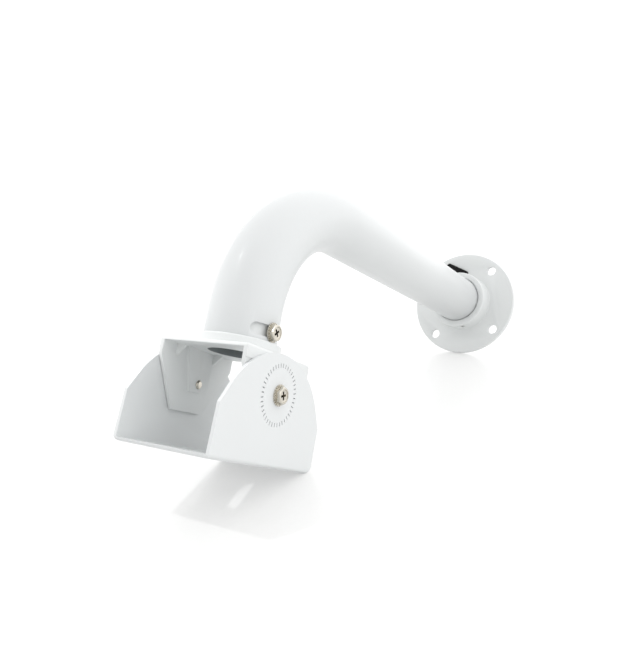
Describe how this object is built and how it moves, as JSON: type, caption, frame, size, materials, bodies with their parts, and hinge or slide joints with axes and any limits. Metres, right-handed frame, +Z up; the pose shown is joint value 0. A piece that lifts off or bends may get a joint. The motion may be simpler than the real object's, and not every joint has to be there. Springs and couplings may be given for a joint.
{
  "type": "security camera wall bracket",
  "caption": "Gooseneck wall bracket for a security camera: round flange with a socket, curved tube arm, turning yoke and a tilting U-shaped cradle.",
  "frame": {"origin": "centre of the flange's wall face", "axes": "+Y into the wall, -Y out along the arm, +Z up, X across"},
  "size_m": [0.097, 0.3684, 0.2075],
  "materials": {
    "white_coat_tube": "smooth white powder coat, semi-gloss",
    "white_coat_cast": "white powder coat over a casting, semi-gloss",
    "white_coat_sheet": "white powder coat over folded sheet, fine texture",
    "nickel_screw": "nickel plated, bright, slightly warm",
    "nickel_washer": "nickel plated, toothed",
    "black_rubber": "matt black moulded rubber"
  },
  "bodies": {
    "flange": {"wall_flange": "white_coat_cast", "cable_grommet": "black_rubber", "arm_set_screw": "nickel_screw"},
    "arm": {"arm_tube": "white_coat_tube"},
    "yoke": {"yoke": "white_coat_cast", "pan_lock_screw": "nickel_screw", "pan_lock_washer": "nickel_washer", "tilt_screw_right": "nickel_screw", "tilt_screw_left": "nickel_screw", "tilt_washer_right": "nickel_washer", "tilt_washer_left": "nickel_washer"},
    "cradle": {"cradle": "white_coat_sheet"}
  },
  "joints": [
    {"name": "arm_roll", "type": "hinge", "parent": "flange", "child": "arm", "pos_m": [0, 0, 0], "axis": [0, 1, 0], "range_deg": [-45, 45]},
    {"name": "head_pan", "type": "hinge", "parent": "arm", "child": "yoke", "pos_m": [0, -0.31612, -0.09121], "axis": [0, 0.0576, 0.9983], "range_deg": [-33, 23]},
    {"name": "cradle_tilt", "type": "hinge", "parent": "yoke", "child": "cradle", "pos_m": [-0.00017, -0.31566, -0.11778], "axis": [0.9962, 0.087, -0.005], "range_deg": [-80, 80]}
  ]
}
